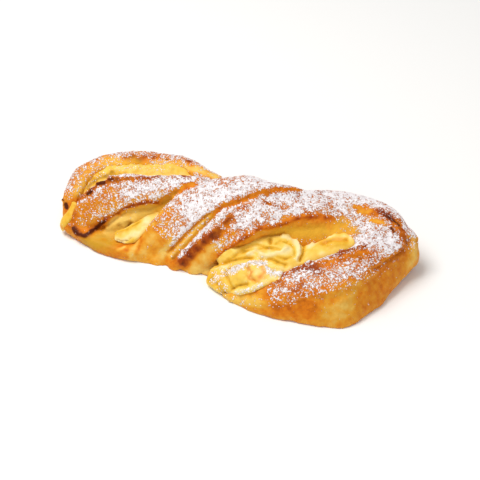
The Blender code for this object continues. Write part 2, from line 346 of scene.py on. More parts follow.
# The soft side of the slot in the large loop, under the rim's inner lip: its top first
FOLDS["slot_side"] = (2.6, [
    (20, 9, 26, 20, 4, 17, 5),
    (30, 12, 27, 30, 5, 17, 6),
    (42, 16, 26, 41, 8, 16, 6),
    (53, 17, 25, 53, 9, 16, 6),
    (61, 13, 24, 58, 8, 18, 5),
])
# The strip's free inner end, which droops as a tongue into the small loop
FOLDS["tongue"] = (3.2, [
    (-77, -2, 12, -73, -5, 5, 8),
    (-73, 1, 20, -66, -3, 9, 9),
    (-67, 6, 26, -60, 0, 15, 9),
    (-58, 9, 30, -51, 3, 21, 9),
    (-45, 11, 32, -40, 5, 25, 9),
    (-31, 14, 34, -29, 9, 30, 8),
    (-18, 17, 34, -20, 13, 32, 7),
])
# The thick torn side of the tongue under its lip, which walls the pocket: its top first
FOLDS["tongue_side"] = (2.6, [
    (-63, 3, 13, -61, -2, 7, 4),
    (-52, 5, 19, -50, 0, 10, 6),
    (-42, 8, 23, -40, 3, 13, 6),
    (-30, 11, 27, -28, 6, 17, 6),
])
# The broad turn across the waist, from the table at the front over the top to the back
FOLDS["broad_turn"] = (3.4, [
    (-44, -12, 2, -27, -10, 1, 9),
    (-42, -9, 7, -25, -6, 9, 10),
    (-38, -4, 15, -19, -3, 18, 10),
    (-33, 2, 23, -11, 1, 27, 10),
    (-24, 8, 31, -2, 5, 33, 10),
    (-11, 16, 36, 9, 11, 36, 10),
    (3, 22, 36, 19, 20, 36, 10),
    (14, 29, 28, 31, 28, 29, 10),
    (22, 31, 14, 40, 32, 14, 10),
    (27, 31, 2, 46, 32, 2, 9),
])
# A thin fold that shows between the broad turn and the loop's rim
FOLDS["thin_fold"] = (2.6, [
    (-27, -10, 2, -22, -12, 2, 6),
    (-21, -7, 11, -16, -9, 11, 6),
    (-13, 0, 21, -9, -3, 21, 6),
    (-6, 3, 28, -2, 0, 28, 6),
    (4, 8, 32, 7, 6, 32, 6),
    (12, 15, 33, 14, 13, 33, 5),
])
# The small loop's rim, from its low left tip along the back to the waist
FOLDS["small_rim"] = (2.8, [
    (-84, -1, 4, -79, -2, 6, 6),
    (-85, 3, 12, -80, 3, 12, 6),
    (-85, 8, 18, -80, 8, 18, 6),
    (-83, 17, 24, -77, 15, 22, 6),
    (-76, 25, 27, -72, 21, 25, 7),
    (-65, 33, 28, -61, 26, 27, 7),
    (-50, 36, 29, -48, 29, 28, 7),
    (-34, 36, 30, -34, 28, 29, 8),
    (-18, 29, 30, -20, 23, 30, 9),
    (-5, 25, 28, -8, 20, 28, 10),
])
# The wall under the small loop's rim: its foot first
FOLDS["small_wall"] = (2.8, [
    (-80, -3, 1, -82, -4, 5, 7),
    (-82, 3, 1, -85, 4, 11, 7),
    (-82, 14, 1, -85, 9, 17, 7),
    (-77, 25, 1, -83, 18, 22, 7),
    (-67, 32, 1, -76, 26, 25, 7),
    (-52, 35, 1, -65, 33, 26, 8),
    (-36, 34, 1, -50, 36, 27, 8),
    (-20, 31, 1, -34, 35, 28, 9),
    (-4, 27, 1, -18, 29, 28, 10),
])
# The low layer that closes the small loop at the front
FOLDS["small_front"] = (3.0, [
    (-80, -4, 6, -80, -4, 1, 6),
    (-70, -9, 5, -72, -8, 1, 9),
    (-62, -11, 5, -62, -12, 1, 12),
    (-54, -12, 5, -54, -13, 1, 12),
    (-46, -13, 5, -46, -13, 1, 12),
    (-40, -11, 5, -40, -12, 1, 10),
])
# Dough inside, under the loops and through the waist
FOLDS["heart"] = (2.6, [
    (-74, 16, 9, -74, 0, 4, 7),
    (-60, 24, 12, -60, -6, 5, 8),
    (-46, 28, 14, -46, -3, 10, 11),
    (-28, 27, 24, -28, 2, 15, 18),
    (0, 25, 28, 0, -4, 15, 20),
    (20, 27, 22, 20, -14, 10, 15),
    (40, 29, 12, 40, -18, 10, 11),
    (64, 28, 12, 64, -16, 11, 12),
])
# The bottom layer, which closes the underside from wall to wall
FOLDS["bottom"] = (4.0, [
    (-79, 14, 7, -79, 1, 3, 7),
    (-66, 29, 8, -66, -6, 3, 8),
    (-40, 32, 9, -40, -9, 3, 9),
    (-14, 26, 9, -14, -9, 3, 9),
    (6, 24, 9, 6, -14, 3, 9),
    (30, 30, 9, 30, -23, 4, 9),
    (52, 32, 9, 52, -23, 5, 9),
    (64, 29, 9, 64, -13, 5, 8),
    (71, 27, 9, 71, 2, 5, 8),
])


RUNS = {}
# The curd in one run, from the small loop under the waist into the large loop
RUNS["through"] = (2.6, [
    (-80, 8, 13, -73, 2, 10, 5),
    (-78, 17, 20, -70, 10, 18, 8),
    (-71, 22, 25, -63, 14, 22, 10),
    (-60, 26, 27, -52, 17, 24, 11),
    (-45, 29, 28, -39, 20, 25, 11),
    (-30, 27, 29, -27, 19, 26, 10),
    (-18, 15, 20, -20, 5, 18, 8),
    (-6, 3, 14, -8, -3, 11, 6),
    (6, -6, 16, 6, -14, 9, 8),
    (16, 1, 21, 22, -16, 13, 11),
    (26, 5, 21, 33, -12, 17, 11),
    (37, 6, 18, 41, -4, 18, 9),
    (46, 12, 20, 51, 3, 20, 9),
    (52, 16, 21, 56, 8, 21, 8),
])
# Curd that spills over the low front of the large loop
RUNS["spill"] = (2.8, [
    (-2, -12, 7, -4, -17, 3, 4),
    (6, -14, 12, 3, -22, 4, 7),
    (15, -14, 16, 14, -24, 8, 8),
    (22, -15, 16, 23, -23, 12, 6),
    (30, -14, 16, 31, -19, 14, 5),
])
# Curd in the pocket under the tongue
RUNS["pocket"] = (2.4, [
    (-54, -5, 9, -53, -8, 8, 3),
    (-51, -3, 10, -49, -8, 8, 4),
    (-46, 0, 13, -44, -6, 10, 5),
    (-39, 5, 17, -37, 0, 15, 6),
    (-26, 12, 20, -24, 4, 17, 7),
])


def even_skin(thing, voxel):
    """Even quads over the thing's surface, from voxels of the given size, then relaxed."""
    quads = thing.modifiers.new("even_quads", "REMESH")
    quads.mode = "VOXEL"
    quads.voxel_size = voxel
    quads.use_smooth_shade = True
    relax = thing.modifiers.new("relax", "SMOOTH")
    relax.factor = RELAX
    relax.iterations = RELAX_PASSES
    apply_modifiers(thing)


def surface(mesh):
    """The mesh's points and the normals at them, as rows."""
    rows = np.empty((2, len(mesh.vertices) * 3), np.float32)
    mesh.vertices.foreach_get("co", rows[0])
    mesh.vertex_normals.foreach_get("vector", rows[1])
    return rows.reshape(2, -1, 3).astype(float)


def move_points(mesh, points):
    mesh.vertices.foreach_set("co", points.astype(np.float32).ravel())
    mesh.update()


SEED_STEP = np.array([17.3, 5.9, 11.1])
CORNER_WAVE = np.array([127.1, 311.7, 74.7])
CORNER_HEIGHT = 43758.5453


def noise(points, size, seed):
    """Smooth noise from -1 to 1 whose lumps are about the given size.

    Each corner of a cubic lattice has a height, a fraction of a sine of its whole-number
    place, and between the corners the heights are blended by 3t^2 - 2t^3 along each axis.
    """
    place = points / size + seed * SEED_STEP
    cell = np.floor(place)
    t = place - cell
    t = t * t * (3 - 2 * t)
    total = np.zeros(len(points))
    for corner in np.ndindex(2, 2, 2):
        wave = np.sin((cell + corner) @ CORNER_WAVE) * CORNER_HEIGHT
        weight = np.prod(np.where(corner, t, 1 - t), axis=1)
        total += weight * (wave - np.floor(wave))
    return 2 * total - 1


def waves(points, rows):
    """Noises laid over each other, each a (height, size in millimetres, seed)."""
    return sum(high * noise(points, size * MM, seed) for high, size, seed in rows)


def on_surface(tree, pixels, gap=1):
    """Points on the surface under a line of the photograph's pixels, a gap of pixels apart."""
    corners = np.array(pixels, float)
    run = np.concatenate([[0], np.cumsum(np.linalg.norm(np.diff(corners, axis=0), axis=1))])
    even = np.arange(0, run[-1] + 1, gap)
    line = zip(np.interp(even, run, corners[:, 0]), np.interp(even, run, corners[:, 1]))
    hits = [tree.ray_cast(camera.location, sight(pixel))[0] for pixel in line]
    return np.array([hit for hit in hits if hit is not None])


LEAST_ROUGH = 0.5
NEAR_REACH = 5.5


def near(points, line, width, rough):
    """1 on the line and less away from it, as exp(-(distance * rough / width)^2)."""
    if len(line) == 0:
        return np.zeros(len(points))
    rough = np.maximum(rough, LEAST_ROUGH)
    reach = NEAR_REACH * width
    inside = np.all((points > line.min(axis=0) - reach) & (points < line.max(axis=0) + reach),
                    axis=1)
    gap = np.full(len(points), np.inf)
    if inside.any():
        apart = points[inside, None] - line[None]
        gap[inside] = np.sqrt(np.min(np.sum(apart * apart, axis=2), axis=1))
    return np.exp(-(gap * rough / width) ** 2)


dough = join("baked_dough", [band(name, *rows) for name, rows in FOLDS.items()])
room = [band(name, *rows, grow=-CURD_MEETS) for name, rows in RUNS.items()]
cut(dough, join("curd_room", room))
cut(dough, tray_block())
even_skin(dough, DOUGH_VOXEL)

# What the oven and the baker's hands did, by name. Each is a line of the photograph's pixels.
BURNT_LIP = [(73, 228), (78, 234), (85, 236), (90, 232), (97, 227), (106, 220)]
BROWN_LIP = [(106, 219), (118, 213), (125, 208), (135, 205), (148, 202), (158, 203)]
BELOW_LIP = [(104, 226), (114, 219), (125, 213), (138, 210), (150, 208)]
BROWN_END = [(74, 208), (73, 220)]
BROWN_BACK = [(78, 200), (88, 193), (98, 185), (110, 180), (130, 178), (150, 178)]
WAIST_LIP = [(148, 178), (160, 175), (176, 174), (186, 176)]
WAIST_DOTS = [(198, 179), (199, 180)]
MORE_DOTS = [(205, 179), (212, 178)]
BURNT_BITS = [(88, 194), (91, 191)]
BITS_AT_BEND = [(98, 184), (104, 182)]
BITS_AT_TOP = [(109, 179), (117, 178)]
UNDER_TONGUE = [(93, 236), (100, 230), (106, 225)]
TONGUE_LEFT = [(82, 222), (90, 212), (98, 218)]
TONGUE_LOWER = [(104, 218), (114, 212), (126, 205), (140, 202), (155, 199), (168, 193)]
TONGUE_TOP = [(128, 194), (150, 188), (180, 182)]
TURN_GAP = [(160, 203), (170, 196), (182, 189), (194, 184)]
POCKET_WALL = [(115, 215), (128, 214), (142, 211), (156, 208), (166, 202)]
POCKET_PALE = [(106, 231), (109, 225), (116, 220), (124, 219), (132, 218)]
LOBE_SHADOW = [(112, 242), (117, 250), (126, 248), (134, 241)]
POCKET_FLOOR = [(108, 230), (120, 226), (135, 222), (150, 214)]
POCKET_HOLE = [(129, 225), (131, 231)]
POCKET_PORE = [(119, 226), (120, 228)]
LAYER_TOP = [(98, 237), (105, 236), (110, 240)]
# A painted highlight in cream below the curd's lobe
LOBE_HIGHLIGHT = [(118, 250), (124, 247)]
LOW_LAYER = [(86, 243), (98, 243), (108, 243)]
LAYER_EDGE = [(80, 241), (95, 250), (108, 256)]
LAYER_BROWN = [(110, 252), (118, 256), (126, 257)]
TURN_TOP = [(190, 208), (210, 196), (240, 190)]
TURN_LOW = [(150, 228), (165, 230), (180, 224)]
TURN_EDGE = [(172, 244), (184, 230), (198, 216), (212, 208)]
TURN_FOOT = [(136, 258), (143, 247), (150, 236)]
FOOT_CREAM = [(128, 260), (132, 253), (138, 244)]
FOOT_ORANGE = [(137, 252), (142, 240), (148, 230)]
EDGE_CREAM = [(162, 257), (167, 250), (172, 243)]
TURN_HEEL = [(156, 260), (166, 250), (176, 242)]
GROOVE_UPPER = [(168, 252), (180, 240), (195, 225), (210, 213)]
PALE_FOLD = [(171, 256), (183, 243), (196, 229), (208, 217)]
GROOVE_LOWER = [(172, 260), (182, 249), (192, 238), (203, 227), (214, 216)]
ORANGE_STRIP = [(217, 211), (224, 206), (235, 203), (247, 198), (260, 193), (275, 190),
                (290, 189), (300, 190)]
STRIPE_RIDGE = [(179, 257), (193, 242), (205, 229), (218, 220), (232, 211)]
STRIPE = [(183, 263), (188, 258), (195, 250), (202, 243), (210, 237), (218, 230)]
STRIPE_END = [(225, 222), (231, 217)]
PLAIN_FOLD = [(192, 268), (202, 258), (210, 248), (217, 241)]
PLAIN_FOOT = [(196, 273), (206, 270), (214, 264)]
SLOT_LIP = [(219, 256), (230, 247), (240, 240), (252, 234), (260, 228), (272, 227), (285, 223)]
FAR_LIP = [(285, 223), (300, 218), (318, 216), (332, 218)]
RIM_TOP = [(262, 198), (285, 199), (310, 202), (335, 204), (358, 204), (375, 209)]
RIM_BACK = [(262, 187), (285, 190), (310, 192), (335, 195), (360, 200), (380, 207)]
ABOVE_LIP = [(215, 242), (222, 248), (232, 241), (245, 234), (258, 225)]
SLOT_UNDER = [(226, 256), (240, 248), (255, 242), (270, 236), (284, 230)]
SLOT_TOP = [(290, 223), (305, 220), (328, 221)]
SLOT_WALL = [(288, 230), (305, 232), (325, 230), (338, 230)]
SUGAR_GAPS = [
    [(239, 208), (247, 207)], [(264, 202), (270, 204)], [(278, 206), (286, 208)],
    [(306, 212), (311, 213)], [(329, 204), (331, 206)], [(268, 284), (280, 280)],
    [(296, 290), (303, 284)], [(352, 262), (360, 260)],
]
SLOT_END = [(345, 226), (353, 230)]
FLAT_END = [(368, 240), (380, 242), (392, 238)]
FLAT_PATCH = [(360, 225), (366, 228)]
FRONT_LIP = [(262, 286), (272, 281), (285, 274), (303, 266), (320, 258), (340, 252), (365, 246)]
FRONT_CRUST = [(318, 264), (335, 260), (352, 255), (366, 252)]
FRONT_MIDDLE = [(275, 294), (295, 286), (315, 281), (335, 277), (360, 268)]
FRONT_BURNT = [(305, 269), (311, 267), (317, 269)]
FRONT_BURNT_TWO = [(334, 255), (341, 253), (349, 249)]
FRONT_SPOTS = [(322, 265), (330, 259)]
FRONT_TIP = [(226, 299), (240, 302), (256, 303)]
TIP_EDGE = [(236, 306), (262, 310), (285, 316)]
RIM_PATCH = [(360, 210), (374, 213)]
RIM_PATCH_TWO = [(373, 220), (381, 222)]
RIM_BURNT = [(380, 211), (388, 216)]
BURNT_LINE = [(388, 217), (394, 221), (399, 225)]
BURNT_LOW = [(391, 228), (395, 233)]
RIM_RIGHT = [(397, 222), (403, 232), (406, 242), (403, 252), (394, 259)]
FRONT_PALE = [(328, 314), (338, 312), (348, 303)]
FRONT_SIDE = [(275, 306), (290, 308), (310, 308)]
SIDE_RIGHT = [(365, 302), (380, 291), (396, 276)]
SUGAR_FOOT = [(272, 305), (290, 299), (310, 294), (330, 288), (350, 283), (372, 272)]
STEP_LINE = [(409, 240), (406, 249), (398, 257), (386, 264), (374, 270)]
LOWER_BULGE = [(414, 240), (416, 252), (411, 264)]
SMALL_SPOT = [(62, 198), (63, 200)]
SMALL_SPOT_TWO = [(66, 204), (67, 208)]
SMALL_RED = [(131, 158), (138, 161), (144, 158)]
SMALL_RED_TWO = [(126, 158), (130, 157)]
SMALL_RED_THREE = [(153, 158), (158, 157)]
SMALL_BROWN = [(186, 160), (190, 161)]
SMALL_DOT = [(166, 159), (168, 160)]
SMALL_OUTER = [(68, 186), (76, 172), (90, 160), (105, 153), (125, 151), (150, 153), (176, 158)]
SMALL_MIDDLE = [(72, 196), (80, 182), (92, 169), (106, 161), (125, 159), (150, 162), (178, 165)]
SMALL_INNER = [(82, 192), (93, 179), (108, 169), (125, 165), (150, 167), (175, 169)]
WAIST_BACK = [(186, 168), (200, 170), (214, 176)]

# Forms pressed or torn in the dough: how far out in millimetres, how wide, and where. A last
# number is the gap in pixels between the knobs of a knobbly form.
SHAPING = [
    (1, 1.2, BURNT_LIP), (0.9, 1, BROWN_LIP), (-0.7, 1.1, BELOW_LIP), (0.6, 1, BROWN_BACK),
    (0.8, 0.8, BURNT_BITS), (0.8, 0.9, BITS_AT_BEND), (0.8, 1, BITS_AT_TOP), (-1.2, 1.4, TURN_GAP),
    (-2.2, 1.2, POCKET_HOLE), (-1.2, 0.8, POCKET_PORE), (0.4, 1.5, TURN_EDGE),
    (-0.8, 0.6, GROOVE_UPPER), (0.4, 0.9, PALE_FOLD), (-1, 0.7, GROOVE_LOWER),
    (-0.5, 1.4, ORANGE_STRIP), (0.5, 1.2, STRIPE_RIDGE), (0.8, 1.8, STRIPE, 9),
    (0.6, 1, STRIPE_END), (1, 1.1, SLOT_LIP), (0.6, 0.9, FAR_LIP), (0.5, 1.4, SLOT_UNDER),
    (0.8, 1, FRONT_LIP), (0.5, 1.2, FRONT_CRUST, 4), (-1.6, 1.2, STEP_LINE), (0.8, 3, LOWER_BULGE),
    (0.6, 1.2, RIM_BURNT), (0.6, 1, BURNT_LOW), (-0.6, 2, RIM_PATCH), (0.8, 0.7, SMALL_SPOT),
    (-0.8, 1.1, SMALL_SPOT_TWO), (0.9, 1.8, SMALL_INNER), (0.5, 1.4, SMALL_RED),
]

# Soft crumb, olive with painted shade, bake, char and sugar: how much, how wide in millimetres, and
# where
DOUGH_CRUMB = [
    (0.8, 5, POCKET_WALL), (0.5, 4, POCKET_FLOOR), (0, 3, POCKET_PALE), (0.8, 3.5, LOW_LAYER),
    (0.5, 2.6, LAYER_TOP), (0.9, 2.5, SLOT_UNDER), (0.9, 5, SLOT_WALL), (0.6, 4, SLOT_END),
    (0.8, 3, SMALL_INNER), (0.5, 3.5, FRONT_TIP), (0, 1.5, BURNT_LIP), (0, 1.4, BROWN_LIP),
    (0, 1.4, SLOT_LIP), (0, 1.8, FAR_LIP), (0, 2.2, SLOT_TOP),
]
# Olive painted shade in the pocket, its hole and pore, on the low layer and in the lower groove,
# also dulling a pale patch at the front; the lips are cleared of it
DOUGH_PAINTED_SHADE = [
    (0, 1.6, BROWN_LIP), (0, 1.6, SLOT_LIP), (0, 2, FAR_LIP), (0.4, 2, POCKET_FLOOR),
    (0.25, 2.5, POCKET_WALL), (0.04, 2, POCKET_PALE), (0.4, 5, FRONT_PALE),
    (0.8, 1.4, POCKET_HOLE), (0.7, 0.9, POCKET_PORE), (0.7, 4, LOW_LAYER), (0.6, 2.4, LAYER_TOP),
    (0.6, 1, GROOVE_LOWER),
]
DOUGH_BAKE = [
    (0, 4.5, POCKET_FLOOR), (0, 3, POCKET_PALE), (0.18, 5, TURN_FOOT), (0.24, 3.5, TURN_HEEL),
    (0, 2, FOOT_CREAM), (0.52, 1.8, FOOT_ORANGE), (0.02, 1.5, EDGE_CREAM), (0.1, 3.6, PLAIN_FOLD),
    (0.16, 5.5, FRONT_PALE), (0.66, 5, FRONT_SIDE), (0.54, 5, SIDE_RIGHT), (0.08, 4, FRONT_TIP),
    # The lower bulge on the right is kept pale, as painted light on that side
    (0.6, 0.9, TIP_EDGE), (0.2, 4, LOWER_BULGE), (0.6, 2.5, SMALL_OUTER),
    (0.32, 3.2, SMALL_MIDDLE), (0.05, 2.8, SMALL_INNER), (0.1, 3, WAIST_BACK),
    (0.52, 5, TONGUE_LEFT), (0.68, 3, FRONT_CRUST), (0.78, 2.4, RIM_RIGHT), (0.52, 1.6, TURN_GAP),
    (0.06, 1.4, PALE_FOLD), (0.6, 0.6, GROOVE_UPPER), (0.44, 0.8, GROOVE_LOWER),
    (0.66, 1.6, ORANGE_STRIP), (0.4, 1.4, STRIPE_RIDGE), (0.46, 2.4, SLOT_TOP),
    (0.76, 1.3, SLOT_LIP), (0.82, 1.1, FAR_LIP), (0.85, 1.5, FRONT_LIP), (0.98, 1.2, BROWN_LIP),
    (0.75, 1.5, BROWN_END), (0.84, 1.2, BROWN_BACK), (0.94, 1.3, WAIST_LIP),
    # Left at no bake, the line below the lobe is a painted highlight in cream
    (0.4, 1.8, UNDER_TONGUE), (0.55, 1, LOBE_SHADOW), (0.05, 2.4, LAYER_TOP), (0, 0.8, LOBE_HIGHLIGHT),
    (0.58, 2, LAYER_BROWN), (0.7, 1, LAYER_EDGE), (0.44, 3.5, RIM_PATCH),
    (0.36, 2.5, RIM_PATCH_TWO), (0.9, 2.8, SMALL_RED), (0.85, 2.2, SMALL_RED_TWO),
    (0.85, 2.2, SMALL_RED_THREE), (0.95, 1.2, SMALL_BROWN), (0.92, 2.8, STRIPE),
    (1, 2.4, STRIPE, 10), (0.9, 2, STRIPE_END), (0.02, 2.8, PLAIN_FOOT), (0.98, 2.8, RIM_BURNT),
    (0.98, 1.8, BURNT_LIP), (0.7, 1, STEP_LINE), (1, 2.4, FRONT_BURNT), (0.96, 2, FRONT_BURNT_TWO),
]
DOUGH_CHAR = [
    (0.26, 1.8, STRIPE), (0.66, 1.5, STRIPE, 10), (0.5, 1, STRIPE_END), (0.95, 1.4, BURNT_LIP),
    (0.34, 0.8, BROWN_LIP), (0.5, 0.8, BROWN_LIP, 8), (0.4, 0.8, SLOT_LIP, 9),
    (0.45, 0.8, FAR_LIP, 11), (1, 1.2, BURNT_BITS), (1, 1.1, BITS_AT_BEND), (0.75, 1, BITS_AT_TOP),
    (0.6, 0.9, WAIST_LIP, 6), (0.9, 0.8, WAIST_DOTS), (0.7, 0.7, MORE_DOTS, 6),
    (0.46, 1.6, FRONT_BURNT, 3), (0.45, 1.2, FRONT_BURNT_TWO, 4), (0.6, 0.8, FRONT_SPOTS, 5),
    (0.56, 2.3, RIM_BURNT), (0.85, 0.8, BURNT_LINE), (0.85, 1.2, BURNT_LOW), (1, 0.9, SMALL_SPOT),
    (1, 1.1, SMALL_SPOT_TWO), (0.8, 0.7, SMALL_DOT), (0.45, 1, SMALL_BROWN),
    # On the pocket's hole and pore the dark char colour is painted shade in them
    (0.35, 1.2, POCKET_HOLE), (0.3, 0.7, POCKET_PORE),
]
DOUGH_SUGAR = [
    (0.36, 6, TONGUE_LEFT), (0.85, 4, TONGUE_TOP), (0.85, 4.5, RIM_TOP), (0.9, 4, RIM_BACK),
    (0.95, 5, TURN_TOP), (0.58, 4, TURN_LOW), (0.85, 2, TURN_EDGE), (0, 4, TURN_FOOT),
    (0.6, 4, SMALL_OUTER), (0.38, 3, SMALL_MIDDLE), (0.26, 2.6, SMALL_INNER),
    (0.12, 3, WAIST_BACK), (0, 4, PLAIN_FOLD), (0, 5, POCKET_FLOOR), (0, 4, POCKET_WALL),
    (0.62, 3, TONGUE_LOWER), (0, 5, LOW_LAYER), (0, 5, SLOT_WALL), (0, 2.2, SLOT_TOP),
    (0.2, 3, SLOT_END), (0.62, 2.6, ABOVE_LIP), (0, 2.2, SLOT_UNDER), (0.95, 4, FLAT_END),
    (0.85, 2.2, FLAT_PATCH), (0.5, 1.2, PALE_FOLD), (0.05, 0.7, GROOVE_UPPER),
    (0, 1, GROOVE_LOWER), (0, 1.3, ORANGE_STRIP), (0.95, 1.3, STRIPE_RIDGE), (0.05, 1.5, TURN_GAP),
    (0.05, 3, RIM_PATCH), (0.1, 2, RIM_PATCH_TWO), (0.12, 2.6, RIM_RIGHT),
    (0.62, 3.5, FRONT_MIDDLE), (0.4, 2.2, SUGAR_FOOT), (0.2, 3, FRONT_CRUST), (0, 1.6, SMALL_SPOT),
    (0, 1.8, SMALL_SPOT_TWO), (0, 1.6, STRIPE_END), (0.25, 3, FRONT_TIP), (0, 0.8, BROWN_LIP),
    (0, 1.6, BELOW_LIP), (0.2, 1.2, BROWN_BACK), (0.25, 1, WAIST_LIP), (0.04, 2, SMALL_RED),
    (0.1, 1.2, SMALL_RED_TWO), (0.1, 1.2, SMALL_RED_THREE), (0.05, 1.3, FAR_LIP), (0, 1.6, STRIPE),
    (0.2, 1.5, SLOT_LIP), (0.35, 1, FRONT_LIP),
]
DOUGH_BAKE += [(0.78, 1.3, gap) for gap in SUGAR_GAPS]
DOUGH_SUGAR += [(0.35, 1.2, gap) for gap in SUGAR_GAPS]

# Waves of noise: height, size in millimetres, and seed
RAGGED_FORMS = [(0.4, 2.5, 3)]
CRAGS = [(0.8, 1.8, 9)]
RAGGED_PAINT = [(0.45, 2.5, 13), (0.2, 1.2, 14)]
DOUGH_SWELL = [(0.4, 9, 5), (0.25, 4, 6), (0.15, 2, 7)]
BAKE_WAVES = [(0.08, 22, 1), (0.06, 8, 2)]
BACK_WAVES = [(0.14, 15, 32)]
SUGAR_WAVES = [(0.2, 14, 4), (0.25, 5, 8)]
OLIVE_WAVES = [(0.12, 5, 15)]
SUGAR_OFF_CHAR = 0.85


def shape(thing, forms, swell):
    """Moves the thing's points along their normals by pressed forms and by waves, in millimetres.

    Nothing goes below the tray.
    """
    tree = BVHTree.FromObject(thing, bpy.context.evaluated_depsgraph_get())
    points, normals = surface(thing.data)
    ragged = 1 + waves(points, RAGGED_FORMS)
    crags = 1 + waves(points, CRAGS)
    rise = waves(points, swell)
    for high, wide, pixels, *gap in forms:
        line = on_surface(tree, pixels, *gap)
        rise = rise + high * crags * near(points, line, wide * MM, ragged)
    points += normals * (rise * MM)[:, None]
    points[:, 2] = np.maximum(points[:, 2], 0)
    move_points(thing.data, points)


def paint(thing, layers, strokes):
    """Keeps layers of values from 0 to 1 on the thing's points, after strokes are laid on them."""
    tree = BVHTree.FromObject(thing, bpy.context.evaluated_depsgraph_get())
    points, _ = surface(thing.data)
    ragged = 1 + waves(points, RAGGED_PAINT)
    for kind, rows in strokes.items():
        for amount, wide, pixels, *gap in rows:
            share = near(points, on_surface(tree, pixels, *gap), wide * MM, ragged)
            layers[kind] += (amount - layers[kind]) * share
    layers["sugar"] *= 1 - SUGAR_OFF_CHAR * np.clip(layers["char"], 0, 1)
    for kind, values in layers.items():
        layer = thing.data.attributes.new(kind, "FLOAT", "POINT")
        layer.data.foreach_set("value", np.clip(values, 0, 1).astype(np.float32))


shape(dough, SHAPING, DOUGH_SWELL)

# A crease runs along the back, where two layers of the strip meet, and wanders up and down it
SEAM_HEIGHT = 12
SEAM_WANDER = [(4, 26, 31)]
SEAM_WIDTH = 0.9
SEAM_DEPTH = 1.0 * MM
SEAM_SHOWS = 0.6
SEAM_FADES = [(0.9, 16, 33)]
SEAM_BAKE = 0.25
BACK_GAIN = 1.6
points, normals = surface(dough.data)
above_seam = points[:, 2] / MM - SEAM_HEIGHT - waves(points * [1, 1, 0], SEAM_WANDER)
facing_back = np.clip(BACK_GAIN * normals[:, 1] - np.abs(normals[:, 2]), 0, 1)
seam = facing_back * np.exp(-(above_seam / SEAM_WIDTH) ** 2)
seam *= np.clip(SEAM_SHOWS + waves(points, SEAM_FADES), 0, 1)
move_points(dough.data, points - normals * (SEAM_DEPTH * seam)[:, None])

# The oven browned what faces up most, and the tray the underside. Sugar fell on what faces up
# and is high enough.
TOP_BAKE = 0.68
WALL_BAKE = 0.46
BACK_BAKE = -0.06
TRAY_BAKE = 0.72
SUGAR_LEVEL = 0.72
OLIVE_LEVEL = 0.12
FACES_UP = (0.15, 0.75)
FACES_DOWN = (0.6, 0.9)
SUGAR_HEIGHTS = (12 * MM, 19 * MM)


def rising(values, start, full):
    """0 up to start and 1 from full on, with an even rise between."""
    return np.clip((values - start) / (full - start), 0, 1)


points, normals = surface(dough.data)
upward = rising(normals[:, 2], *FACES_UP)
bake = WALL_BAKE + (TOP_BAKE - WALL_BAKE) * upward + waves(points, BAKE_WAVES)
bake += facing_back * (BACK_BAKE + waves(points, BACK_WAVES)) + SEAM_BAKE * seam
bake += (TRAY_BAKE - bake) * rising(-normals[:, 2], *FACES_DOWN)
sugar = upward * rising(points[:, 2], *SUGAR_HEIGHTS) * (SUGAR_LEVEL + waves(points, SUGAR_WAVES))
# A faint olive tint everywhere, varying at random, under the painted shade
olive_and_painted_shade = OLIVE_LEVEL + waves(points, OLIVE_WAVES)
layers = {"bake": bake, "char": 0 * bake, "crumb": 0 * bake, "olive_and_painted_shade": olive_and_painted_shade, "sugar": sugar}
paint(dough, layers, {"bake": DOUGH_BAKE, "char": DOUGH_CHAR, "crumb": DOUGH_CRUMB,
                      "olive_and_painted_shade": DOUGH_PAINTED_SHADE, "sugar": DOUGH_SUGAR})

# Egg-washed yeast dough, baked golden: satin, orange-brown where the oven reached it, deep
# yellow crumb in the folds, and blackened at thin lips, with a faint olive tint at random and
# olive painted shade in the pocket, its hole and pore, the low layer and the lower groove
CRUMB = "#ecb636"
OLIVE_AND_PAINTED_SHADE = "#a97c17"
CREAM_CRUMB = "#f3ca68"
PALE_CRUST = "#eebc5a"
GOLD_CRUST = "#e99e2c"
ORANGE_CRUST = "#d8750f"
BROWN_CRUST = "#963806"
BURNT = "#521e08"
CRUST_STOPS = [(0.0, CREAM_CRUMB), (0.12, PALE_CRUST), (0.36, GOLD_CRUST),
               (0.62, ORANGE_CRUST), (0.92, BROWN_CRUST)]
CRUST_ROUGH = 0.5
CRUST_BUMP = 0.8
CRUST_DEPTH = 0.4 * MM
BAKE_SPECKLE = 0.8
CHAR_SPECKLE = 0.7
CHAR_FROM = 0.35
CHAR_GAIN = 2.2
OLIVE_AND_SHADE_SHARE = 0.8


def add_node(material, kind, settings=None, **links):
    """Adds a node, with its settings, and its inputs set by name to a value or a socket.

    An input whose name has spaces is written with underscores, and one that is known by its
    number as in_0, in_1 and so on.
    """
    node = material.node_tree.nodes.new("ShaderNode" + kind)
    for name, value in (settings or {}).items():
        setattr(node, name, value)
    for name, value in links.items():
        if name.startswith("in_"):
            socket = node.inputs[int(name[3:])]
        else:
            socket = node.inputs[name.replace("_", " ")]
        if isinstance(value, bpy.types.NodeSocket):
            material.node_tree.links.new(value, socket)
        else:
            socket.default_value = value
    return node


def ramp(material, value, stops):
    """A colour ramp over value, with stops of (position, hex colour)."""
    node = add_node(material, "ValToRGB", Fac=value)
    marks = node.color_ramp.elements
    while len(marks) < len(stops):
        marks.new(1.0)
    for mark, (position, colour) in zip(marks, stops):
        mark.position = position
        mark.color = (*linear(colour), 1)
    return node.outputs["Color"]


def maths(material, kind, *values, clamp=False):
    inputs = {f"in_{place}": value for place, value in enumerate(values)}
    node = add_node(material, "Math", {"operation": kind, "use_clamp": clamp}, **inputs)
    return node.outputs["Value"]


def layer_value(material, name):
    return add_node(material, "Attribute", {"attribute_name": name}).outputs["Fac"]


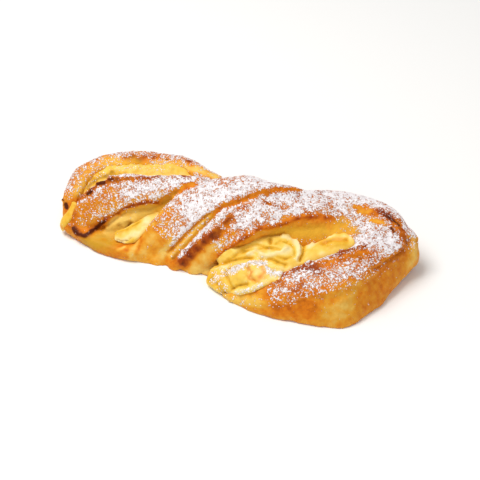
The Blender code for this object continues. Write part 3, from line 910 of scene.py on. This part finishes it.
def blend(material, share, under, colour):
    """The hex colour laid over the colour under it, by a share from 0 to 1."""
    node = add_node(material, "Mix", {"data_type": "RGBA"}, in_0=share, in_6=under,
                    in_7=(*linear(colour), 1))
    return node.outputs[2]


def grain(material, size, detail=3.0, rough=0.55):
    """Noise with lumps of the given size in metres, on the object's own coordinates."""
    place = add_node(material, "TexCoord").outputs["Object"]
    node = add_node(material, "TexNoise", Vector=place, Scale=1 / (2 * size),
                    Detail=detail, Roughness=rough)
    return node.outputs["Fac"]


def speckle(material, size, amount, detail=3.0):
    """Noise of the given amount about zero."""
    lumps = grain(material, size, detail)
    return maths(material, "MULTIPLY_ADD", lumps, amount, -amount / 2)


# Patches of sugar, its grains and how much of it lies there add up, each by its share, and sugar
# shows where the sum passes the limit
SUGAR = "#f5eff0"
SUGAR_FILM_AND_SHADE = "#a87868"
SUGAR_PATCH = 1.1 * MM
PATCH_SHARE = 0.6
SUGAR_GRAIN = 0.45 * MM
GRAIN_ROUGH = 0.7
GRAIN_SHARE = 0.8
SUGAR_SHARE = 0.34
SUGAR_LIMIT = 0.90
SUGAR_EDGE = 13.0
FILM_FROM = 0.45
FILM_GAIN = 1.1
SUGAR_ROUGH = 0.9


def dusted(material, under):
    """Icing sugar over a colour: grains where the sum passes the limit, as edge * (sum - limit),
    and between them a dull mauve film, as gain * (sugar - from), partly the thin sugar veil
    and partly painted shade between the grains.

    Gives the coloured result and the share that grains cover.
    """
    sugar = layer_value(material, "sugar")
    patches = grain(material, SUGAR_PATCH, 2.0)
    grains = grain(material, SUGAR_GRAIN, 2.0, GRAIN_ROUGH)
    level = maths(material, "MULTIPLY_ADD", sugar, SUGAR_SHARE, -SUGAR_LIMIT)
    level = maths(material, "MULTIPLY_ADD", patches, PATCH_SHARE, level)
    level = maths(material, "MULTIPLY_ADD", grains, GRAIN_SHARE, level)
    share = maths(material, "MULTIPLY", level, SUGAR_EDGE, clamp=True)
    # A dull mauve film: partly the thin sugar veil, partly painted shade between the grains
    film_and_shade = maths(material, "MULTIPLY_ADD", sugar, FILM_GAIN, -FILM_GAIN * FILM_FROM, clamp=True)
    filmed_and_shaded = blend(material, film_and_shade, under, SUGAR_FILM_AND_SHADE)
    return blend(material, share, filmed_and_shaded, SUGAR), share


def coat_food(material, shader, under, pores, strength, depth):
    """Sugars the colour under it, sinks the pores, and gives the share that grains cover."""
    coat, dust = dusted(material, under)
    bump = add_node(material, "Bump", Strength=strength, Distance=depth,
                    Height=maths(material, "ADD", pores, dust))
    material.node_tree.links.new(coat, shader.inputs["Base Color"])
    material.node_tree.links.new(bump.outputs["Normal"], shader.inputs["Normal"])
    return dust


baked, shader = new_finish("egg_washed_crust", rough=CRUST_ROUGH, specular=0.12)
bake_mottle = speckle(baked, 1.6 * MM, BAKE_SPECKLE, 5)
bake_value = maths(baked, "ADD", layer_value(baked, "bake"), bake_mottle, clamp=True)
crust = blend(baked, layer_value(baked, "crumb"), ramp(baked, bake_value, CRUST_STOPS), CRUMB)
# Olive over the crust: the faint tint at random, and painted shade in the pocket, hole, low layer
# and groove
olive_and_shade_share = maths(baked, "MULTIPLY", layer_value(baked, "olive_and_painted_shade"), OLIVE_AND_SHADE_SHARE, clamp=True)
crust = blend(baked, olive_and_shade_share, crust, OLIVE_AND_PAINTED_SHADE)
char_mottle = speckle(baked, 0.8 * MM, CHAR_SPECKLE)
char_level = maths(baked, "ADD", layer_value(baked, "char"), char_mottle)
char_share = maths(baked, "MULTIPLY_ADD", char_level, CHAR_GAIN, -CHAR_GAIN * CHAR_FROM, clamp=True)
crust = blend(baked, char_share, crust, BURNT)
pores = maths(baked, "ADD", grain(baked, 0.5 * MM, 4), grain(baked, 1.5 * MM, 2))
dust = coat_food(baked, shader, crust, pores, CRUST_BUMP, CRUST_DEPTH)
matt = add_node(baked, "MapRange", Value=dust, To_Min=CRUST_ROUGH, To_Max=SUGAR_ROUGH)
baked.node_tree.links.new(matt.outputs["Result"], shader.inputs["Roughness"])
dough.data.materials.clear()
dough.data.materials.append(baked)
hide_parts("dough")
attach(dough, "root")


# The curd filling
# Sweet egg curd, piped along the strip before it was folded. It set in the oven as a pale
# yellow, creased mass that fills both loops and spills over the low front of the large one,
# with a little of it run out at the small loop's tip.
CURD_VOXEL = 0.6 * MM
RUNS["ooze"] = (2.4, [
    (-79, 3, 15, -78, 2, 14, 2),
    (-80, 1, 12, -79, 0, 11, 2),
    (-82, -2, 8, -80, -3, 8, 3),
    (-83, -3, 5, -82, -4, 5, 3),
    (-84, -3, 3, -83, -4, 3, 2),
])
curd = join("curd_mass", [band(name, *rows) for name, rows in RUNS.items()])
cut(curd, tray_block())
even_skin(curd, CURD_VOXEL)

NOTCH = [(300, 241), (304, 247), (303, 253), (300, 259)]
FOLD = [(255, 251), (263, 248), (270, 248), (280, 250)]
FOLD_LOW = [(262, 260), (270, 259), (277, 262), (285, 265)]
FOLD_HIGH = [(228, 260), (240, 253), (250, 249), (256, 251)]
FOLD_LEFT = [(214, 268), (228, 262), (240, 259), (252, 258)]
FOLD_RIGHT = [(288, 242), (294, 248), (296, 255)]
FOLD_TOP = [(238, 252), (246, 247), (256, 244), (263, 246)]
FOLD_BACK = [(276, 244), (282, 241), (287, 243)]
FOLD_FRONT = [(277, 257), (285, 259), (291, 257)]
CURD_HOLE = [(270, 239), (271, 243)]
CURD_LEFT_END = [(208, 251), (206, 262), (206, 272)]
UNDER_LIP = [(222, 256), (235, 248), (250, 241), (265, 235)]
THIN_LOBE = [(213, 269), (221, 267), (229, 267)]
SPILL_FOLD = [(232, 290), (238, 286), (248, 284)]
SPILL_HIGH = [(226, 272), (230, 268)]
SPILL_RIGHT = [(248, 268), (249, 276), (254, 282)]
SPILL_LEFT = [(226, 274), (229, 282), (233, 289)]
SPILL_FOOT = [(215, 284), (222, 291), (230, 297)]
LOBE = [(283, 237), (293, 238), (299, 245), (300, 252), (297, 259)]
LOBE_LEFT = [(248, 254), (256, 250), (262, 254)]
LOBE_MIDDLE = [(266, 255), (276, 253), (286, 249)]
RIGHT_LOBE = [(309, 246), (320, 239), (335, 236), (350, 238)]
FACET = [(323, 243), (334, 240), (346, 240)]
FACET_LOW = [(326, 246), (338, 245), (346, 243)]
RIDGE = [(232, 270), (240, 266), (252, 262), (262, 264)]
RIDGE_RIGHT = [(262, 264), (270, 271), (280, 274)]
RIDGE_LEFT = [(214, 280), (222, 274), (230, 269)]
SPILL_LUMP = [(234, 276), (243, 276)]
LOW_LUMP = [(236, 293), (250, 289), (262, 285)]
LOW_STREAK = [(252, 294), (265, 289), (280, 283)]
SPILL_END = [(212, 274), (218, 282), (226, 292)]
SMALL_LOOP = [(74, 196), (82, 184), (95, 173), (110, 168)]
SMALL_BRIGHT = [(106, 167), (118, 168)]
SMALL_OLIVE = [(112, 172), (114, 175)]
SMALL_BACK = [(88, 187), (98, 179), (110, 174), (125, 173)]
SMALL_EDGE = [(93, 181), (104, 172), (118, 165), (140, 164), (165, 167), (180, 172)]
SMALL_FAR = [(125, 170), (150, 172), (175, 171), (195, 173)]
SMALL_RAISED = [(84, 190), (95, 178), (110, 169), (130, 167), (150, 168), (170, 168)]
POCKET_LOBE = [(116, 239), (121, 242), (130, 237), (145, 226)]
POCKET_EDGE = [(116, 247), (124, 246), (133, 240)]
POCKET_TOP = [(116, 233), (126, 230), (140, 222)]
POCKET_NICKS = [(110, 234), (114, 238), (118, 242), (124, 243), (130, 239)]
SPILL_UNDER = [(205, 274), (210, 279), (214, 284)]
OOZE_STRIP = [(72, 206), (68, 214), (63, 225)]
OOZE_TIP = [(60, 226), (62, 228)]
SPOTS = [(262, 266), (264, 272), (260, 277)]
SPOTS_LEFT = [(248, 267), (252, 272), (249, 277)]
SPOTS_LOW = [(250, 279), (258, 281)]
CURD_FORMS = [
    (-2.2, 1.5, NOTCH), (-1.4, 0.9, FOLD), (-1.4, 1, FOLD_LOW), (-1.1, 0.9, FOLD_HIGH),
    (-1.4, 0.9, FOLD_LEFT), (-0.9, 0.8, FOLD_RIGHT), (-0.9, 0.7, FOLD_TOP), (-0.9, 0.7, FOLD_BACK),
    (-0.9, 0.7, FOLD_FRONT), (-1.8, 0.9, CURD_HOLE), (0.6, 1.8, UNDER_LIP), (0.7, 1, THIN_LOBE),
    (-1.4, 0.9, SPILL_FOLD), (-1, 0.9, SPILL_HIGH), (-1.2, 0.9, SPILL_RIGHT),
    (-1, 0.8, SPILL_LEFT), (-1, 0.9, SPILL_FOOT), (1.1, 1.1, LOBE), (0.9, 1.2, LOBE_LEFT),
    (0.9, 1.2, LOBE_MIDDLE), (0.9, 1.2, RIGHT_LOBE), (-1.1, 1.4, FACET), (0.5, 1, FACET_LOW),
    (1.1, 1.3, RIDGE), (1, 1.3, RIDGE_RIGHT), (0.7, 2.2, SPILL_LUMP), (0.8, 1.4, LOW_LUMP),
    (-0.8, 0.9, LOW_STREAK), (0.9, 2.2, SMALL_RAISED), (-0.8, 0.9, SMALL_OLIVE),
    (-0.9, 1.3, SMALL_EDGE, 8), (0.5, 1.8, POCKET_TOP), (-0.5, 1.6, POCKET_LOBE),
    (-1.3, 0.8, POCKET_NICKS, 5),
]

# Tone with painted light, browned spots and sugar: how much, how wide in millimetres, and where.
# The tone goes to amber and olive as painted shade in the creases, dents and hole and along the
# small loop's back, and to cream as painted highlights on the lumps
CURD_TONE_AND_PAINTED_LIGHT = [
    (0.66, 9, SMALL_LOOP), (0.55, 6, SMALL_FAR), (0.95, 1.3, SMALL_BACK),
    (0.42, 2.5, SMALL_BRIGHT), (1, 1.2, SMALL_OLIVE), (0.7, 2.5, OOZE_STRIP),
    (0.16, 2.4, POCKET_LOBE), (0.8, 1.6, POCKET_TOP), (0.7, 0.9, POCKET_EDGE), (1, 0.9, NOTCH),
    (0.9, 0.9, FOLD), (0.95, 1, FOLD_LOW), (0.85, 1, FOLD_HIGH), (0.9, 1, FOLD_LEFT),
    (0.8, 0.8, FOLD_RIGHT), (0.85, 0.8, FOLD_TOP), (0.8, 0.8, FOLD_BACK), (0.8, 0.8, FOLD_FRONT),
    (1, 0.9, CURD_HOLE), (0.5, 2.4, UNDER_LIP), (0.5, 2.6, CURD_LEFT_END), (0.9, 1.8, SPILL_UNDER),
    (0.12, 0.9, THIN_LOBE), (0.05, 1.1, LOBE), (0.1, 1.2, LOBE_LEFT), (0.1, 1.5, LOBE_MIDDLE),
    (0.05, 1.1, RIGHT_LOBE), (0.85, 1.6, FACET), (0.75, 1.4, FACET_LOW), (0.55, 2.5, SPILL_LUMP),
    (0.25, 1.8, LOW_LUMP), (0.74, 2.8, SPILL_END), (0.8, 1.2, LOW_STREAK), (0.95, 0.9, SPILL_FOLD),
    (0.85, 0.8, SPILL_LEFT), (0.8, 0.8, SPILL_FOOT), (0.85, 0.8, SPILL_HIGH),
]
CURD_CHAR = [
    (0.5, 1.2, FACET), (0.95, 1.2, LOW_STREAK), (1, 1.2, SPOTS), (0.95, 1.1, SPOTS_LEFT),
    (1, 1, SPOTS_LOW), (1, 1, OOZE_TIP),
]
CURD_SUGAR = [
    (0.85, 2.2, RIDGE), (0.85, 2.2, RIDGE_RIGHT), (0.6, 2, RIDGE_LEFT), (0.45, 2.4, SPILL_END),
    (0.5, 2, LOW_LUMP), (0.2, 0.9, SPOTS), (0.32, 2, SMALL_RAISED),
]
CURD_SWELL = [(0.5, 7, 21), (0.3, 3.2, 22), (0.12, 1.7, 23)]
TONE_LEVEL = 0.40
TONE_WAVES = [(0.2, 9, 24), (0.12, 4, 25)]
shape(curd, CURD_FORMS, CURD_SWELL)
tone_and_painted_light = TONE_LEVEL + waves(surface(curd.data)[0], TONE_WAVES)
paint(curd, {"tone_and_painted_light": tone_and_painted_light, "char": 0 * tone_and_painted_light, "sugar": 0 * tone_and_painted_light},
      {"tone_and_painted_light": CURD_TONE_AND_PAINTED_LIGHT, "char": CURD_CHAR, "sugar": CURD_SUGAR})

# Set egg curd: satin and soft, cream and yellow at random and deeper yellow in the small loop,
# with painted shade in amber and olive in its creases, dents and hole, and painted highlights in
# cream on its lumps
CURD_CREAM = "#f2dea0"
CURD_YELLOW = "#edc85c"
CURD_AMBER = "#e2ad2c"
CURD_PAINTED_SHADE_OLIVE = "#b0801a"
CURD_BROWNED = "#dd7c14"
# The olive stop is painted shade in the creases and hole; the cream stop gives painted highlights
# on the lumps and also comes at random
CURD_STOPS = [(0.1, CURD_CREAM), (0.42, CURD_YELLOW), (0.75, CURD_AMBER), (1.0, CURD_PAINTED_SHADE_OLIVE)]
CURD_BUMP = 0.45
CURD_DEPTH = 0.3 * MM
TONE_SPECKLE = 0.7
BROWN_GAIN = 1.5
egg_curd, shader = new_finish("set_egg_curd", rough=0.42, specular=0.2)
tone_mottle = speckle(egg_curd, 1.8 * MM, TONE_SPECKLE, 5)
tone_and_light_value = maths(egg_curd, "ADD", layer_value(egg_curd, "tone_and_painted_light"), tone_mottle, clamp=True)
brown_spots = maths(egg_curd, "MULTIPLY", grain(egg_curd, 1.0 * MM), BROWN_GAIN)
browned = maths(egg_curd, "MULTIPLY", layer_value(egg_curd, "char"), brown_spots, clamp=True)
curd_colour = blend(egg_curd, browned, ramp(egg_curd, tone_and_light_value, CURD_STOPS), CURD_BROWNED)
coat_food(egg_curd, shader, curd_colour, grain(egg_curd, 0.9 * MM, 4), CURD_BUMP, CURD_DEPTH)
curd.data.materials.clear()
curd.data.materials.append(egg_curd)
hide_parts("curd_filling")
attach(curd, "root")


# The icing sugar
# Powdered sugar, sifted over the pastry when it had cooled. It lies as a thin film, which the
# crust's and the curd's finish give, darkened there with painted shade between the grains, with
# small clumps of it on top, made here.
CLUMPS = 15000
CLUMP_SIDES = 5
CLUMP_RADIUS = 0.24 * MM
CLUMP_VARIES = 0.4
CLUMP_LARGEST = 1.6
CLUMP_TWIST = 0.5
CLUMP_REACH = (0.7, 1.3)
CLUMP_LIFT = (0.4, 0.9)
CLUMP_SINK = 0.3
CLUMP_SEED = 7
POWDER_STOPS = [(0.35, "#ece4e4"), (0.65, "#faf6f7")]


def landing_places(thing, random, count):
    """Places and normals spread over the thing by its area times the square of its sugar."""
    mesh = thing.data
    mesh.calc_loop_triangles()
    corners = np.empty(len(mesh.loop_triangles) * 3, np.int32)
    mesh.loop_triangles.foreach_get("vertices", corners)
    corners = corners.reshape(-1, 3)
    points, normals = surface(mesh)
    sugar = np.empty(len(points), np.float32)
    mesh.attributes["sugar"].data.foreach_get("value", sugar)
    a, b, c = (points[corners[:, side]] for side in range(3))
    area = np.linalg.norm(np.cross(b - a, c - a), axis=1)
    share = area * sugar[corners].mean(axis=1) ** 2
    chosen = random.choice(len(share), count, p=share / share.sum())
    s = np.sqrt(random.random(count))[:, None]
    t = random.random(count)[:, None]
    weights = np.hstack([1 - s, s * (1 - t), s * t])
    place = np.einsum("nk,nkd->nd", weights, points[corners[chosen]])
    normal = unit(np.einsum("nk,nkd->nd", weights, normals[corners[chosen]]))
    return place, normal, share.sum()


def between(low, high, draws):
    return low + (high - low) * draws


def clumps(name, places, normals, random):
    """Low domes on the surface: a ragged ring of points round a top and a sunken foot."""
    count = len(places)
    varied = np.exp(CLUMP_VARIES * random.standard_normal(count))
    radius = CLUMP_RADIUS * np.minimum(varied, CLUMP_LARGEST)
    side = unit(np.cross(normals, unit(random.standard_normal((count, 3)))))
    other = np.cross(normals, side)
    turn = np.linspace(0, 2 * math.pi, CLUMP_SIDES, endpoint=False)
    turn = turn[None] + CLUMP_TWIST * random.random((count, CLUMP_SIDES))
    reach = radius[:, None] * between(*CLUMP_REACH, random.random((count, CLUMP_SIDES)))
    ring = (places[:, None] + side[:, None] * (reach * np.cos(turn))[:, :, None]
            + other[:, None] * (reach * np.sin(turn))[:, :, None])
    top = places + normals * (radius * between(*CLUMP_LIFT, random.random(count)))[:, None]
    foot = places - normals * (CLUMP_SINK * radius)[:, None]
    points = np.concatenate([ring, top[:, None], foot[:, None]], axis=1).reshape(-1, 3)
    points[:, 2] = np.maximum(points[:, 2], 0)
    here = np.arange(CLUMP_SIDES)
    after = (here + 1) % CLUMP_SIDES
    pole = np.full(CLUMP_SIDES, CLUMP_SIDES)
    upper = np.stack([here, after, pole], axis=1)
    lower = np.stack([after, here, pole + 1], axis=1)
    first = np.arange(count) * (CLUMP_SIDES + 2)
    faces = np.vstack([upper, lower])[None] + first[:, None, None]
    made = put_mesh(name, points.tolist(), faces.reshape(-1, 3).tolist())
    made.data.shade_smooth()
    return made


random = np.random.default_rng(CLUMP_SEED)
on_dough = landing_places(dough, random, CLUMPS)
on_curd = landing_places(curd, random, CLUMPS)
curd_share = on_curd[2] / (on_curd[2] + on_dough[2])
curd_count = int(CLUMPS * curd_share)
places = np.vstack([on_dough[0][curd_count:], on_curd[0][:curd_count]])
ways = np.vstack([on_dough[1][curd_count:], on_curd[1][:curd_count]])
sugar_clumps = clumps("icing_sugar", places, ways, random)
powder, shader = new_finish("icing_sugar", rough=SUGAR_ROUGH, specular=0.2)
white = ramp(powder, grain(powder, 1.5 * MM, 2), POWDER_STOPS)
powder.node_tree.links.new(white, shader.inputs["Base Color"])
sugar_clumps.data.materials.append(powder)
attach(sugar_clumps, "root")
